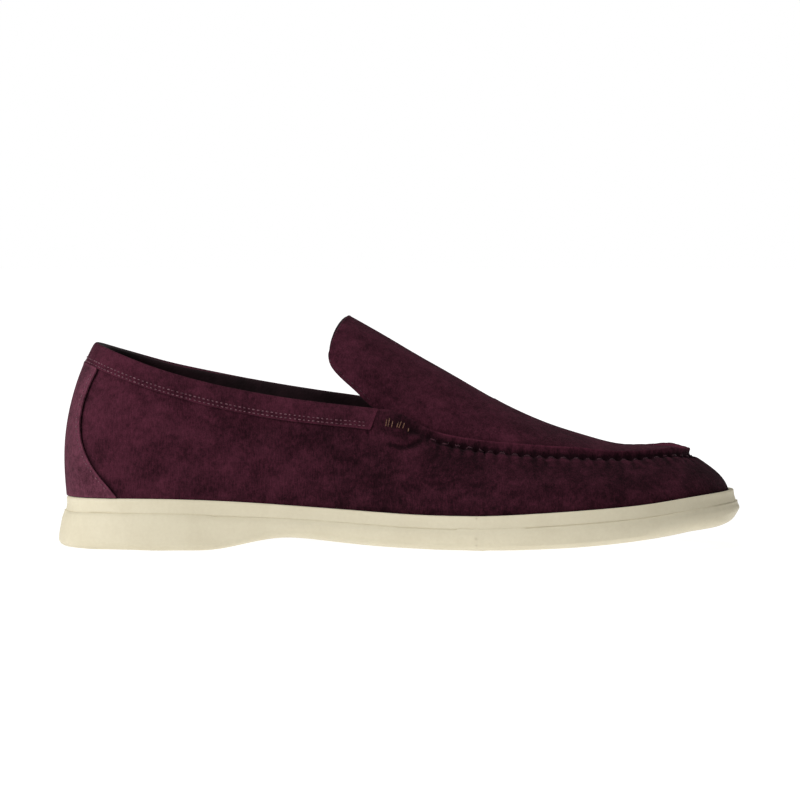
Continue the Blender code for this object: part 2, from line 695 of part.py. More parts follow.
def main():
    for obj in list(bpy.data.objects):
        bpy.data.objects.remove(obj)
    suede = material("plum_suede", (0.058, 0.014, 0.024), 0.95)
    lining = material("dark_lining", (0.02, 0.01, 0.012), 0.7)
    cream = material("cream_rubber", (0.76, 0.68, 0.48), 0.55)
    foam = material("foam", (0.8, 0.78, 0.7), 0.9)
    fibre = material("fibreboard", (0.36, 0.25, 0.15), 0.85)
    steel = material("spring_steel", (0.5, 0.5, 0.52), 0.35, 1.0)
    sewing = material("plum_thread", (0.16, 0.06, 0.08), 0.6)
    tan = material("tan_thread", (0.3, 0.13, 0.09), 0.6)

    make_outsole(cream, foam)
    make_midsole(cream)
    make_inside({"filler": fibre, "board": fibre, "foam": foam, "sock": lining})
    make_shank(steel)
    make_wall(suede)
    make_lining(lining)
    make_stiffeners({"counter": fibre, "puff": fibre, "foam": foam})
    make_collar(suede)
    make_heel_patch(suede)
    make_apron(suede, lining)
    make_threads(sewing, tan)
    hang_forefoot()


main()
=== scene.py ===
"""The finished look of a suede slip-on loafer with a cream rubber sole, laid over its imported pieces.

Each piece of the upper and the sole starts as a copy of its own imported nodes. The two halves are
joined again across the flex line, the facets are made smooth, and then the leather is worked: the
gathers and pits of the apron seam, the folds at the throat, the lip round the toe and the soft waves
of the skin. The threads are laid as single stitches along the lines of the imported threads.

Lengths on the shoe are written in millimetres and multiplied by MM; lights and camera are placed in
metres. The toe points along +X, the lateral side along -Y, and the ground is at z = 0.
"""

import json
import math
import random

import bmesh
import bpy
import numpy as np
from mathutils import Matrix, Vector, kdtree, noise
from mathutils.bvhtree import BVHTree


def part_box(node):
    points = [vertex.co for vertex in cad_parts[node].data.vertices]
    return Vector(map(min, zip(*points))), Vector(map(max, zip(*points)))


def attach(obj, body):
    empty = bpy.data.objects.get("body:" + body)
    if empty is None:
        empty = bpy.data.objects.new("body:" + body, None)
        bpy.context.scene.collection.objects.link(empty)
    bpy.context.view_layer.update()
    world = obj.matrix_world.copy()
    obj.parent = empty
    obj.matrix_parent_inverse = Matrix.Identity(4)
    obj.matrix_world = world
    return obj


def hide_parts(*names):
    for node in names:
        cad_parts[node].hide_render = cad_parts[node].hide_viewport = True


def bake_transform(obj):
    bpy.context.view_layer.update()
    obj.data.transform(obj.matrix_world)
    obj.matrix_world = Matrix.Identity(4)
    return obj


MM = 0.001
HANDS = ("lateral", "medial")

# The apron seam.
GATHER_PITCH = 5.3  # from one gather to the next
GATHER_REACH = 8.5  # how far the folds run down the wall
LIP = 4.4  # from the seam's stitches up to the top of the pinched lip

# The toe.
TOE_START = 96  # where the toe begins, and the centre of its round end
TOE_TOP = 42.9  # height of the lip round the toe
TOE_LIFT = 2.0  # how much less the lip stands proud of the wall at the tip
NOSE = 41.8  # height of the nose's tip

# The throat, where seam, collar and tongue meet.
TONGUE_HEART = np.array((-4.0, 0.0, 80.0))  # the middle of the tongue's height, seen from the side
LINING_SHOWS = 1.1  # how far the lining stands beyond the suede along the tongue's free edge
# Folds under each corner, seen from the side: their bends as (x, z), their width and their depth.
THROAT_FOLDS = ((((-5.5, 46.6), (-2.0, 45.4), (2.5, 45.0), (7.0, 46.3), (10.8, 49.3)), 1.1, 0.65),
                (((-11.8, 56.0), (-12.9, 52.5), (-13.8, 49.0)), 0.5, 0.6))
# Hollows and one swell round each end of the seam: how far behind the end and below it they are,
# their radius, and how far they stand out.
THROAT_DENTS = ((3.5, 1.0, 2.8, -1.3), (5.0, 8.0, 4.2, -0.9), (0.5, 6.0, 3.4, -0.7), (2.5, 3.6, 2.6, 0.9))
# The hand stitches that close each corner, from end to end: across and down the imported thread's box.
TACK = (((0.15, 0.9), (0.2, 0.2)), ((0.2, 0.98), (0.28, 0.12)), ((0.3, 0.95), (0.36, 0.3)),
        ((0.42, 0.95), (0.52, 0.35)), ((0.47, 1.0), (0.6, 0.3)), ((0.6, 0.85), (0.68, 0.4)),
        ((0.74, 0.98), (0.8, 0.72)))

# The collar band's front ends and the heel patch.
BAND_END_TOP = 62
BAND_END_WIDTH = 9.5
BAND_LEAN = (2.3, -2.0225)  # how far forward the top and the foot of the end lean
PATCH_TUCK = 1.1  # how far the heel patch goes up under the band

# The sole.
COVE = 0.5  # depth of the hollow in the midsole's edge
BAND_HEIGHT = 5.4  # height of the midsole's edge above the outsole
LEDGE_LIFT = 0.34  # how far the outsole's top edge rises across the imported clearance
BAND_DROP = 0.6  # how far the midsole's lower edge comes down to meet it
FULL_TOE = 2.2  # how much lower the outsole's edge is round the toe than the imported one

# A row of stitches: from one to the next, the length of each, its thickness and how unevenly it lies.
MACHINE_ROW = (2.0, 1.2, 0.45, 0.12)
TONGUE_ROW = (2.4, 1.5, 0.34, 0.0)
SEAM_THREAD = 0.65  # thickness
SEAM_INSET = 0.9  # from the middle of a pit to where the stitch comes out
TACK_THREAD = 0.42  # thickness

# The soft waves of the skins.
WAVE_SIZE = 26
WAVE_DEPTH = 0.35
WAVE_SEED = 5  # unseeded, the noise would differ from run to run

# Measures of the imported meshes.
SAME_POINT = 0.01  # points nearer than this are one
CUT_GAP = 0.45  # the faces of a cut lie within this of the flex line
WELD_REACH = 2.5  # the farthest that two points are drawn together across the cut
RING_REACH = 0.75  # the points of one ring of a packed thread lie within this of each other
SHARP = math.radians(40)  # an edge that turns by more than this stays crisp
LINE_STEP = 0.35  # from one point of a smoothed line to the next

# The camera.
LENS = 205.3
CAMERA_RISE = math.radians(2.5)
CAMERA_DISTANCE = 2.0
CAMERA_AIM = Vector((0.00044, 0, 0.0639))

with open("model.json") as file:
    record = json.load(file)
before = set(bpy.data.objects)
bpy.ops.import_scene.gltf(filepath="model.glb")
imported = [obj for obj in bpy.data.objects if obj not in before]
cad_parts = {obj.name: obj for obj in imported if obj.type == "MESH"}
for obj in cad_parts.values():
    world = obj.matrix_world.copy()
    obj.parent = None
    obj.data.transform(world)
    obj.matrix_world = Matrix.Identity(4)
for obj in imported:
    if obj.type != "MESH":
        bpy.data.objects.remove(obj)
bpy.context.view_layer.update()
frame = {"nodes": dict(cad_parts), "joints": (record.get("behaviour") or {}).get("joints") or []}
nodes = frame["nodes"]
flex = frame["joints"][0]
flex_point = Vector(flex["pos_m"])
flex_forward = Vector((0, 0, 1)).cross(Vector(flex["axis"])).normalized()


# ---------------------------------------------------------------- finishes

class Value:
    """A socket of a node tree. Sums, differences and products of values add Math nodes."""

    def __init__(self, owner, socket):
        self.owner = owner
        self.socket = socket

    def math(self, operation, first, second):
        return self.owner.node("ShaderNodeMath", {"operation": operation}, {0: first, 1: second})

    def __add__(self, other):
        return self.math("ADD", self, other)

    __radd__ = __add__

    def __sub__(self, other):
        return self.math("SUBTRACT", self, other)

    def __rsub__(self, other):
        return self.math("SUBTRACT", other, self)

    def __mul__(self, other):
        return self.math("MULTIPLY", self, other)

    __rmul__ = __mul__

    def ramp(self, low, high):
        """0 below low, 1 above high and smooth between them."""
        return self.owner.node("ShaderNodeMapRange", {"interpolation_type": "SMOOTHSTEP"},
                               {0: self, 1: low, 2: high})


class Nodes:
    """A node tree, to which every node is added in one way."""

    def __init__(self, tree):
        self.tree = tree

    def put(self, socket, value):
        """Links a value to a socket, or sets the socket to a number or a colour."""
        if isinstance(value, Value):
            self.tree.links.new(value.socket, socket)
        else:
            socket.default_value = value

    def node(self, kind, settings=None, values=None, output=0):
        made = self.tree.nodes.new(kind)
        for key, setting in (settings or {}).items():
            setattr(made, key, setting)
        for key, value in (values or {}).items():
            self.put(made.inputs[key], value)
        return Value(self, made.outputs[output])

    def mix(self, factor, first, second):
        """A colour between two, each of them a value or three numbers."""
        first, second = (c if isinstance(c, Value) else (*c, 1) for c in (first, second))
        return self.node("ShaderNodeMix", {"data_type": "RGBA"}, {0: factor, 6: first, 7: second}, output=2)


class Finish(Nodes):
    """A Principled material whose changing sockets are fed by nodes."""

    def __init__(self, name, roughness, metallic=0.0, sheen=0.0, sheen_tint=(1, 1, 1)):
        self.material = bpy.data.materials.new(name)
        self.material.use_nodes = True
        super().__init__(self.material.node_tree)
        self.shader = self.tree.nodes["Principled BSDF"]
        self.feed("Roughness", roughness)
        self.feed("Metallic", metallic)
        self.feed("Sheen Weight", sheen)
        self.feed("Sheen Roughness", 0.45)
        self.feed("Sheen Tint", (*sheen_tint, 1))
        self.feed("Specular IOR Level", 0.08 if sheen else 0.5)
        self.place = self.node("ShaderNodeTexCoord", output="Object")

    def feed(self, socket, value):
        self.put(self.shader.inputs[socket], value)

    def noise(self, size, detail=3.0, roughness=0.55, stretch=(1, 1, 1)):
        """Noise with features of about that size in millimetres, longer along a stretched axis."""
        scale = tuple(1 / s for s in stretch)
        place = self.node("ShaderNodeMapping", None, {"Vector": self.place, "Scale": scale})
        return self.node("ShaderNodeTexNoise", None, {"Vector": place, "Scale": 1 / (size * MM),
                                                      "Detail": detail, "Roughness": roughness})

    def cells(self, size):
        """Round cells of about that size in millimetres, 0 in the middle of each."""
        return self.node("ShaderNodeTexVoronoi", None, {"Vector": self.place, "Scale": 1 / (size * MM)})

    def bump(self, height, depth):
        """Height from 0 to 1 stands depth millimetres out."""
        values = {"Height": height, "Distance": depth * MM, "Strength": 1.0}
        self.feed("Normal", self.node("ShaderNodeBump", None, values))
        return self


def suede(name, dark, light):
    """Suede: nap brushed this way and that, fine fibres, and painted light and shade: paler where the skin
    stands out, partly worn and partly a painted highlight, and darker in folds, grooves and pits as painted
    shade.
    """
    finish = Finish(name, 0.92, sheen=0.03, sheen_tint=(0.9, 0.5, 0.62))
    brushed = finish.noise(26, 4, 0.6).ramp(0.32, 0.7)
    clouds = finish.noise(7, 3, 0.6, stretch=(1.6, 1, 1)).ramp(0.3, 0.72)
    mottle = finish.noise(2.4, 4, 0.65).ramp(0.32, 0.68)
    fibres = finish.noise(0.5, 4, 0.7)
    hairs = finish.noise(0.55, 3, 0.6, stretch=(1, 1, 5)).ramp(0.35, 0.65)
    flecks = finish.noise(0.9, 2, 0.5).ramp(0.62, 0.8)
    wear_light_and_shade = finish.node("ShaderNodeAttribute", {"attribute_name": "wear_light_and_shade"}, output="Fac")
    nap = brushed * 0.22 + clouds * 0.2 + mottle * 0.18 + fibres * 0.85 + hairs * 0.16 + flecks * 0.2
    # Painted shade and highlight: the point mark makes folds, grooves and pits darker and ridges and the
    # seam's lip paler.
    nap = nap - 0.4 + wear_light_and_shade * 0.5
    finish.feed("Base Color", finish.mix(nap.ramp(-0.15, 1.05), dark, light))
    finish.feed("Roughness", 0.97 - clouds * 0.1)
    return finish.bump(fibres * 0.6 + hairs * 0.35 + mottle * 0.5 + flecks * 0.2, 0.26)


def smooth_leather(name, dark, light):
    finish = Finish(name, 0.6)
    finish.feed("Specular IOR Level", 0.15)
    patches = finish.noise(12, 3)
    finish.feed("Base Color", finish.mix(patches.ramp(0.3, 0.7), dark, light))
    finish.feed("Roughness", 0.5 + patches * 0.25)
    return finish.bump(finish.cells(0.9) * 0.8 + finish.noise(3) * 0.4, 0.1)


def rubber(name, dark, light):
    """Moulded rubber, a little stained and scuffed towards the darker colour."""
    finish = Finish(name, 0.55)
    scuffs = finish.noise(14, 4, 0.6).ramp(0.35, 0.75)
    mottle = finish.noise(1.4, 3, 0.6)
    finish.feed("Base Color", finish.mix(scuffs * 0.22 + mottle * 0.4 + 0.12, light, dark))
    finish.feed("Roughness", 0.5 + mottle * 0.2)
    return finish.bump(finish.noise(0.5, 3, 0.6) * 0.6 + mottle * 0.5, 0.05)


def thread_finish(name, dark, light):
    finish = Finish(name, 0.55, sheen=0.15)
    twist = finish.noise(0.45, 2, 0.5, stretch=(2, 1, 1))
    finish.feed("Base Color", finish.mix(twist.ramp(0.3, 0.7), dark, light))
    finish.feed("Roughness", 0.45 + twist * 0.3)
    return finish.bump(twist, 0.08)


def foam_finish(name):
    finish = Finish(name, 0.9)
    cells = finish.cells(0.8)
    finish.feed("Base Color", finish.mix(cells.ramp(0.0, 0.8), (0.62, 0.6, 0.52), (0.82, 0.8, 0.72)))
    return finish.bump(cells, 0.2)


def board_finish(name):
    finish = Finish(name, 0.85)
    pulp = finish.noise(2.2, 5, 0.7, stretch=(3, 1, 1))
    finish.feed("Base Color", finish.mix(pulp.ramp(0.3, 0.7), (0.25, 0.16, 0.09), (0.42, 0.3, 0.19)))
    return finish.bump(pulp, 0.12)


def steel_finish(name):
    finish = Finish(name, 0.35, metallic=1.0)
    brushed = finish.noise(0.5, 4, 0.6, stretch=(30, 1, 1))
    finish.feed("Base Color", finish.mix(brushed.ramp(0.3, 0.7), (0.35, 0.35, 0.37), (0.55, 0.55, 0.57)))
    finish.feed("Roughness", 0.25 + brushed * 0.3)
    return finish


FINISHES = {
    "suede": suede("plum_suede", (0.008, 0.0012, 0.003), (0.096, 0.0195, 0.0375)),
    "patch": suede("plum_suede_heel", (0.008, 0.002, 0.0035), (0.158, 0.043, 0.071)),
    "lining": smooth_leather("dark_lining", (0.007, 0.002, 0.003), (0.02, 0.007, 0.01)),
    "sole_rubber": rubber("cream_rubber", (0.58, 0.51, 0.36), (0.74, 0.68, 0.51)),
    "foam": foam_finish("foam"),
    "fibreboard": board_finish("fibreboard"),
    "spring_steel": steel_finish("spring_steel"),
    "thread": thread_finish("plum_thread", (0.06, 0.02, 0.03), (0.22, 0.1, 0.125)),
    "dark_thread": thread_finish("dark_plum_thread", (0.02, 0.005, 0.01), (0.075, 0.024, 0.036)),
    "tan_thread": thread_finish("tan_thread", (0.045, 0.015, 0.01), (0.25, 0.125, 0.08)),
}


def coat(obj, finish):
    obj.data.materials.clear()
    obj.data.materials.append(FINISHES[finish].material)


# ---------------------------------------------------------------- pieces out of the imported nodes

def apply(obj, kind, **settings):
    """Adds a modifier and applies it."""
    bpy.ops.object.select_all(action="DESELECT")
    obj.select_set(True)
    bpy.context.view_layer.objects.active = obj
    modifier = obj.modifiers.new(kind.lower(), kind)
    for key, value in settings.items():
        setattr(modifier, key, value)
    bpy.ops.object.modifier_apply(modifier=modifier.name)


def add_piece(name, mesh):
    obj = bpy.data.objects.new(name, mesh)
    bpy.context.scene.collection.objects.link(obj)
    mesh.shade_smooth()
    return obj


def ahead(point):
    """How far a point lies in front of the flex line."""
    return (point - flex_point).dot(flex_forward)


def in_order(verts):
    """A set of a mesh's points as a list that is the same in every run."""
    return sorted(verts, key=lambda v: v.index)


def heal_flex_line(mesh):
    """Takes out the cut faces at the flex line and sews the two halves together, point to point."""
    mesh.verts.index_update()
    caps = [f for f in mesh.faces if abs(ahead(f.calc_center_median())) < CUT_GAP * MM
            and abs(f.normal.dot(flex_forward)) > 0.98]
    rims = in_order({v for f in caps for v in f.verts})
    bmesh.ops.delete(mesh, geom=caps, context="FACES_ONLY")
    behind = [v for v in rims if ahead(v.co) < 0]
    before = [v for v in rims if ahead(v.co) >= 0]
    tree = kdtree.KDTree(len(before))
    for i, v in enumerate(before):
        tree.insert(v.co, i)
    tree.balance()
    pairs = sorted((tree.find(v.co)[2], k, tree.find(v.co)[1]) for k, v in enumerate(behind))
    taken, welds = set(), {}
    for distance, k, i in pairs:
        if i not in taken and distance < WELD_REACH * MM:
            taken.add(i)
            middle = (behind[k].co + before[i].co) / 2
            behind[k].co = before[i].co = middle
            welds[behind[k]] = before[i]
    bmesh.ops.weld_verts(mesh, targetmap=welds)
    bmesh.ops.holes_fill(mesh, edges=[e for e in mesh.edges if e.is_boundary])


def whole(name, *parts, levels, crease=0.75):
    """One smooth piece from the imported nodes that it's cut into."""
    joined = bmesh.new()
    for part in parts:
        joined.from_mesh(nodes[part].data)
    bmesh.ops.remove_doubles(joined, verts=joined.verts, dist=SAME_POINT * MM)
    joined.normal_update()
    if len(parts) > 1:
        heal_flex_line(joined)
    bmesh.ops.dissolve_degenerate(joined, edges=joined.edges, dist=2 * SAME_POINT * MM)
    bmesh.ops.join_triangles(joined, faces=joined.faces, angle_face_threshold=math.radians(50),
                             angle_shape_threshold=math.radians(80))
    joined.normal_update()
    sharpness = joined.edges.layers.float.new("crease_edge")
    for edge in joined.edges:
        if len(edge.link_faces) == 2 and edge.calc_face_angle() > SHARP:
            edge[sharpness] = crease
    mesh = bpy.data.meshes.new(name)
    joined.to_mesh(mesh)
    joined.free()
    obj = add_piece(name, mesh)
    apply(obj, "SUBSURF", levels=levels, render_levels=levels)
    return obj


def finish_piece(obj, finish, body, *replaced):
    """Coats the piece, hides the imported nodes it replaces, and lets it ride on its body or, with none,
    bakes its place into its points.
    """
    coat(obj, finish)
    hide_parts(*replaced)
    if body:
        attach(obj, body)
    else:
        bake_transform(obj)


def halves(name):
    return name + "_rear", name + "_front"


# ---------------------------------------------------------------- lines of stitches

def thread_points(node, start):
    """The middle of each ring of a packed thread, in order from the end where start(co) is least."""
    mesh = bmesh.new()
    mesh.from_mesh(nodes[node].data)
    bmesh.ops.remove_doubles(mesh, verts=mesh.verts, dist=SAME_POINT * MM)
    mesh.verts.index_update()
    first = min(mesh.verts, key=lambda v: start(v.co))
    ring = {v for v in mesh.verts if (v.co - first.co).length < RING_REACH * MM}
    seen, points = set(), []
    while ring:
        points.append(sum((v.co for v in in_order(ring)), Vector()) / len(ring))
        seen |= ring
        ring = {e.other_vert(v) for v in ring for e in v.link_edges} - seen
    mesh.free()
    return points


class Line:
    """A smooth line through points, measured along its length."""

    def __init__(self, points):
        knots = np.array([2 * points[0] - points[1], *points, 2 * points[-1] - points[-2]])
        t = np.linspace(0, 1, 16, endpoint=False)[:, None]
        pieces = []
        for a, b, c, d in zip(knots, knots[1:], knots[2:], knots[3:]):
            bend = 2 * a - 5 * b + 4 * c - d
            pieces.append(0.5 * (2 * b + (c - a) * t + bend * t ** 2 + (3 * b - a - 3 * c + d) * t ** 3))
        dense = np.vstack(pieces + [knots[-2:-1]])
        far = np.concatenate(([0.0], np.cumsum(np.linalg.norm(np.diff(dense, axis=0), axis=1))))
        self.length = far[-1]
        self.marks = np.linspace(0, self.length, max(8, int(self.length / (LINE_STEP * MM))))
        self.points = np.column_stack([np.interp(self.marks, far, dense[:, k]) for k in range(3)])
        along = np.gradient(self.points, axis=0)
        self.along = along / np.linalg.norm(along, axis=1)[:, None]
        self.tree = kdtree.KDTree(len(self.points))
        for i, point in enumerate(self.points):
            self.tree.insert(point, i)
        self.tree.balance()

    def at(self, s):
        """The point at that length along the line."""
        last = len(self.marks) - 1
        return self.points[int(np.clip(s / self.length * last, 0, last))]

    def nearest(self, co):
        """Which of the line's points is nearest to each point."""
        return np.array([self.tree.find(point)[1] for point in co])

    def away(self, co):
        """How far each point is from the line."""
        return np.linalg.norm(co - self.points[self.nearest(co)], axis=1)


def tongue_edge():
    return Line(thread_points("tongue_edge_thread", lambda co: co.z + (1 if co.y > 0 else 0)))


def surface_of(*pieces):
    """What stitches are laid on: the surface of finished pieces."""
    points, faces = [], []
    for piece in pieces:
        base = len(points)
        points.extend(v.co.copy() for v in piece.data.vertices)
        faces.extend([base + i for i in polygon.vertices] for polygon in piece.data.polygons)
    return BVHTree.FromPolygons(points, faces)


def stitch_pattern():
    """One stitch, a unit long and a unit thick, that dives into the leather at both ends."""
    bpy.ops.object.select_all(action="DESELECT")
    bpy.ops.mesh.primitive_cylinder_add(vertices=6, radius=0.5, depth=1, rotation=(0, math.pi / 2, 0))
    stitch = bpy.context.active_object
    bpy.ops.object.transform_apply(location=False, rotation=True, scale=False)
    bpy.ops.object.mode_set(mode="EDIT")
    for cut in (-0.36, -0.18, 0.0, 0.18, 0.36):
        bpy.ops.mesh.select_all(action="SELECT")
        bpy.ops.mesh.bisect(plane_co=(cut, 0, 0), plane_no=(1, 0, 0))
    bpy.ops.object.mode_set(mode="OBJECT")
    points = [v.co.copy() for v in stitch.data.vertices]
    faces = [list(polygon.vertices) for polygon in stitch.data.polygons]
    bpy.data.objects.remove(stitch)
    for point in points:
        end = abs(2 * point.x) ** 4
        point.y *= 1 - 0.45 * end
        point.z = point.z * (1 - 0.45 * end) + 0.22 - 1.1 * end
    return points, faces


STITCH = stitch_pattern()


def lay_stitch(mesh, ends, surface, thick):
    """Adds one stitch to (points, faces), from one point of the leather to another."""
    pattern, faces = STITCH
    start, stop = Vector(ends[0]), Vector(ends[1])
    base = len(mesh[0])
    frames = {}
    for point in pattern:
        key = round(point.x, 3)
        if key not in frames:
            place, normal, _, _ = surface.find_nearest(start.lerp(stop, 0.5 + point.x))
            side = normal.cross(stop - start).normalized()
            frames[key] = place, normal, side
        place, normal, side = frames[key]
        mesh[0].append(place + (side * point.y + normal * point.z) * thick * MM)
    mesh[1].extend([base + i for i in face] for face in faces)


def add_stitches(name, points, faces):
    mesh = bpy.data.meshes.new(name)
    mesh.from_pydata(points, [], faces)
    return add_piece(name, mesh)


def stitch_row(name, line, surface, row):
    """Single stitches laid end to end along a line, a little uneven as they're sewn."""
    pitch, length, thick, wander = row
    draw = random.Random(name)
    mesh = ([], [])
    for k in range(int(line.length / (pitch * MM))):
        start = (k * pitch + draw.uniform(-1, 1) * wander) * MM
        ends = [line.at(start), line.at(start + length * MM)]
        lay_stitch(mesh, ends, surface, thick * draw.uniform(0.75, 1.2))
    return add_stitches(name, *mesh)


# ---------------------------------------------------------------- working the leather

def read(obj):
    """The places of a piece's points, one row each."""
    co = np.zeros(len(obj.data.vertices) * 3)
    obj.data.vertices.foreach_get("co", co)
    return co.reshape(-1, 3)


def read_normals(obj):
    normals = np.zeros(len(obj.data.vertices) * 3)
    obj.data.vertex_normals.foreach_get("vector", normals)
    return normals.reshape(-1, 3)


def write(obj, co):
    obj.data.vertices.foreach_set("co", co.ravel())
    obj.data.update()


def ease(low, high, value):
    """0 up to low, 1 from high on and smooth between them."""
    t = np.clip((value - low) / (high - low), 0, 1)
    return t * t * (3 - 2 * t)


def hump(middle, width, value):
    """1 in the middle, fading smoothly to either side."""
    return np.exp(-((value - middle) / width) ** 2)


def mark_wear_light_and_shade(obj, wear_light_and_shade):
    """Keeps, point by point, how much paler or darker the skin is painted: 1 on ridges and edges, partly
    worn and partly a painted highlight, -1 down in folds, a painted shade.
    """
    co = read(obj)
    ends = np.zeros(len(obj.data.edges) * 2, int)
    obj.data.edges.foreach_get("vertices", ends)
    a, b = ends.reshape(-1, 2).T
    pull = np.zeros_like(co)
    count = np.zeros(len(co))
    for here, there in ((a, b), (b, a)):
        np.add.at(pull, here, co[there] - co[here])
        np.add.at(count, here, 1)
    ridge = -(pull * read_normals(obj)).sum(1) / count
    ridge = np.clip(ridge / (0.05 * MM), -1, 1)
    for _ in range(2):
        spread = np.zeros(len(co))
        np.add.at(spread, a, ridge[b])
        np.add.at(spread, b, ridge[a])
        ridge = 0.5 * ridge + 0.5 * spread / count
    layer = obj.data.attributes.new("wear_light_and_shade", "FLOAT", "POINT")
    layer.data.foreach_set("value", np.clip(0.55 * ridge + wear_light_and_shade, -1, 1).astype(np.float32))


def waves(co):
    """A soft unevenness that carries both faces of a skin together."""
    noise.seed_set(WAVE_SEED)
    return np.array([noise.noise_vector(Vector(point) / (WAVE_SIZE * MM)) for point in co]) * WAVE_DEPTH * MM


def beside(co, piece, reach):
    """How close each point is to a piece, from 0 at that reach to 1."""
    surface = surface_of(piece)
    return ease(reach, 0, np.array([surface.find_nearest(Vector(point))[3] for point in co]) / MM)


class Seam:
    """The gathered seam between wall and apron: pits where the thread goes through, folds below
    each pit, and a lip that swells between them."""

    def __init__(self, line, surface):
        self.line = line
        self.out = self.smoothed(np.array([surface.find_nearest(Vector(p))[1] for p in line.points]))
        up = np.cross(self.out, line.along)
        self.up = up * np.sign(up[:, 2:3])
        draw = random.Random(7)
        count = int(line.length / (GATHER_PITCH * MM))
        self.pits = (np.arange(count) + 0.7) * GATHER_PITCH * MM
        self.pits += np.array([draw.uniform(-0.35, 0.35) for _ in self.pits]) * MM

    @staticmethod
    def smoothed(out, width=25):
        """Directions along the seam, each the mean of its neighbours on both sides."""
        padded = np.vstack([out[:1]] * width + [out] + [out[-1:]] * width)
        total = np.cumsum(padded, axis=0)
        out = total[2 * width:] - total[:-2 * width]
        return out / np.linalg.norm(out, axis=1)[:, None]

    def shift(self, co):
        """How far each point moves, and how much paler or darker the skin is painted there."""
        nearest = self.line.nearest(co)
        offset = (co - self.line.points[nearest]) / MM
        rise = (offset * self.up[nearest]).sum(1)
        depth = (offset * self.out[nearest]).sum(1)
        off_end = np.abs((offset * self.line.along[nearest]).sum(1))
        s = self.line.marks[nearest]
        after = np.searchsorted(self.pits, s).clip(1, len(self.pits) - 1)
        to_pit = np.minimum(np.abs(s - self.pits[after - 1]), np.abs(s - self.pits[after])) / MM
        pit = hump(0, 0.85, to_pit)
        # The seam starts gently at both ends and stops soon beyond them.
        begun = np.minimum(s, self.line.length - s) / (12 * MM)
        strength = np.clip(begun, 0.15, 1) * hump(0, 2.5, np.maximum(off_end - 0.6, 0))
        # It works the outer leather and leaves what lies deeper inside the shoe.
        strength *= 1 / (1 + np.exp((-3.4 - depth) * 3)) * (depth < 4)
        # How much each point belongs to the folds below the stitches, the lip, its rim and the groove.
        below = np.clip(-rise / 1.6, 0, 1) * np.exp(np.minimum(rise, 0) / 4.2)
        below *= np.clip((GATHER_REACH + rise) / 3, 0, 1)
        lip = hump(2.6, 1.5, rise)
        rim_highlight = hump(LIP, 1.0, rise)
        groove = hump(0, 1.5, rise)
        move = -0.75 * groove - 1.5 * pit * hump(-0.2, 1.25, rise)
        move += 0.24 * (1 - 2 * pit) * below + 0.1 * (0.6 - 1.4 * pit) * lip
        # Painted shade down the groove and in the pits, a painted highlight on the lip and along its rim,
        # and paler gathers between the pits below.
        wear_light_and_shade = -0.75 * groove - 0.9 * pit * groove + 0.2 * lip + 1.2 * rim_highlight + 0.2 * (1 - 2 * pit) * below
        return self.out[nearest] * (move * strength)[:, None] * MM, wear_light_and_shade * strength


def shape_toe(co, fill=0.0):
    """The lip sinks into the wall towards the tip of the toe, where it swells and ends in a round nose.
    With fill, the skin inside the lip is pushed out to meet it."""
    x, y, z = (co / MM).T
    under = TOE_TOP - z
    lift = TOE_LIFT * ease(TOE_START, 121, x) - 0.8 * ease(120, 127, x)
    lift *= ease(0, LIP, under) * np.exp(-np.maximum(under - LIP, 0) / 7)
    swell = 1.1 * hump(119.5, 6, x) * ease(38.5, 42, z)
    dip = 1.1 * hump(95, 13, x) * ease(40, 43.5, z)
    beak = 1.1 * ease(112, 126, x) * np.exp(-np.maximum(under, 0) / 3)
    off_nose = np.where(z > NOSE, (z - NOSE) / 0.95, (NOSE - z) / 3.5)
    rounding = 0.75 * ease(119, 125, x) * np.clip(off_nose, 0, 1.2) ** 2 * ease(39.2, 40.2, z)
    push = fill * ease(104, 118, x) / np.hypot(x - TOE_START, y).clip(1)
    tip_push = 0.8 * fill * hump(0, 7, y) * ease(116, 121, x)
    forward = beak - rounding + push * (x - TOE_START) + tip_push
    return np.column_stack((forward, push * y, lift + swell - dip)) * MM


def show_lining_edge(co):
    """The lining stands a little beyond the suede along the free edge of the tongue."""
    out = (co / MM - TONGUE_HEART) * np.array((1, 0, 1))
    out /= np.linalg.norm(out, axis=1)[:, None]
    return out * ease(5, 2.5, tongue_edge().away(co) / MM)[:, None] * LINING_SHOWS * MM


def shape_throat(co):
    """The wall's top edge rises to meet the end of the collar band."""
    x, _, z = (co / MM).T
    rise = 0.9 * ease(5, -6, x) * ease(-30, -12, x) * ease(54, 58, z)
    return np.column_stack((0 * x, 0 * x, rise)) * MM


def crease(co, bends, width, depth, side):
    """A fold pressed into one wall along a bent line that's given from the side. Returns how far
    each point moves, and how deep in the fold it lies, from 0 to 1."""
    line = Line([Vector((x, 0, z)) * MM for x, z in bends])
    flat = co * np.array((1, 0, 1))
    along = line.marks[line.nearest(flat)] / line.length
    press = hump(0, width * MM, line.away(flat)) * np.sin(np.pi * np.clip(along, 0.02, 0.98)) ** 0.6
    press *= ease(0.02, 0.025, co[:, 1] * side)
    return press[:, None] * np.array((0, -side * depth * MM, 0)), press


def press_throat(co, seam):
    """The dents and folds round both ends of the seam: how far each point moves, and how deep in a fold it
    lies, which is painted as shade."""
    shift = np.zeros_like(co)
    fold_shade = np.zeros(len(co))
    for end, inward in ((0, 1), (-1, -1)):
        along = seam.line.along[end] * inward
        for behind, below, radius, stands in THROAT_DENTS:
            middle = seam.line.points[end] - (behind * along + below * seam.up[end]) * MM
            near = hump(0, radius * MM, np.linalg.norm(co - middle, axis=1))
            shift += near[:, None] * seam.out[end] * stands * MM
    for side in (-1, 1):
        for bends, width, depth in THROAT_FOLDS:
            fold, press = crease(co, bends, width, depth, side)
            shift += fold
            fold_shade += press
    return shift, fold_shade


